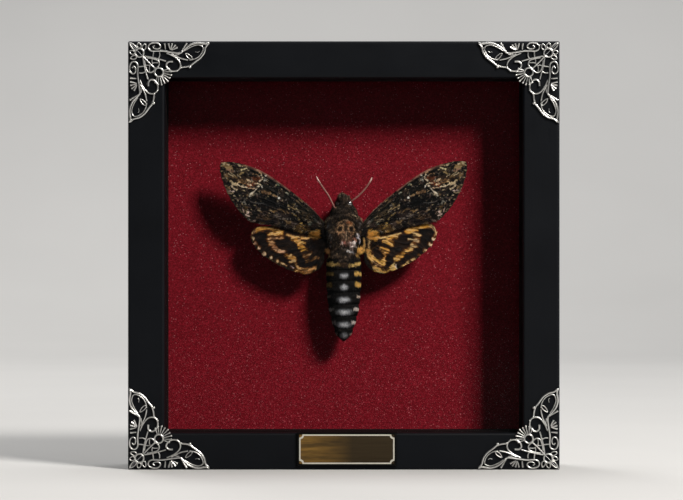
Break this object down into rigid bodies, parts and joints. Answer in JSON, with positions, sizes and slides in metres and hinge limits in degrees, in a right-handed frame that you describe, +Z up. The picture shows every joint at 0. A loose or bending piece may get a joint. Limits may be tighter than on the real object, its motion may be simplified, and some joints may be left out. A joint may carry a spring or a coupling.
{
  "type": "framed death's head hawkmoth specimen",
  "caption": "Death's head hawkmoth, wings spread, mounted in a black shadow-box frame with a red glitter backing, silver filigree corners and a blank plate",
  "frame": {"origin": "middle of the bottom bar's underside, on the surface that the frame stands on", "axes": "+X to the viewer's right, +Y from the glass to the back panel, +Z up"},
  "size_m": [0.2, 0.0392, 0.1985],
  "materials": {
    "black_wood": "satin black paint",
    "black_board": "matt black",
    "clear_glass": "clear",
    "red_card": "crimson with fine glitter",
    "brown_board": "raw hardboard",
    "old_silver": "antiqued silver",
    "old_bronze": "antiqued and brushed",
    "plain_steel": "plain",
    "dark_down": "fine dark down",
    "banded_down": "black down with yellow and grey bands",
    "fore_scales": "dark brown mottled scales",
    "hind_scales": "ochre scales with black bands",
    "eye_shine": "shiny",
    "horny_brown": "dull brown"
  },
  "bodies": {
    "root": {"frame_bottom": "black_wood", "frame_left": "black_wood", "frame_top": "black_wood", "frame_right": "black_wood", "liner_bottom": "black_board", "liner_left": "black_board", "liner_top": "black_board", "liner_right": "black_board", "glass": "clear_glass", "backing": "red_card", "back_panel": "brown_board", "corner_top_left": "old_silver", "corner_top_right": "old_silver", "corner_bottom_left": "old_silver", "corner_bottom_right": "old_silver", "plaque": "old_bronze", "turn_button_bottom": "plain_steel", "turn_button_left": "plain_steel", "turn_button_top": "plain_steel", "turn_button_right": "plain_steel", "turn_screw_bottom": "plain_steel", "turn_screw_left": "plain_steel", "turn_screw_top": "plain_steel", "turn_screw_right": "plain_steel", "hanger": "plain_steel", "hanger_nail_left": "plain_steel", "hanger_nail_right": "plain_steel", "pin": "plain_steel", "thorax": "dark_down", "head": "dark_down", "palp_left": "dark_down", "palp_right": "dark_down", "abdomen": "banded_down", "forewing_left": "fore_scales", "forewing_right": "fore_scales", "hindwing_left": "hind_scales", "hindwing_right": "hind_scales", "eye_left": "eye_shine", "eye_right": "eye_shine", "antenna_left": "horny_brown", "antenna_right": "horny_brown", "tongue": "horny_brown", "leg_fore_left": "horny_brown", "leg_fore_right": "horny_brown", "leg_mid_left": "horny_brown", "leg_mid_right": "horny_brown", "leg_hind_left": "horny_brown", "leg_hind_right": "horny_brown"}
  },
  "joints": []
}
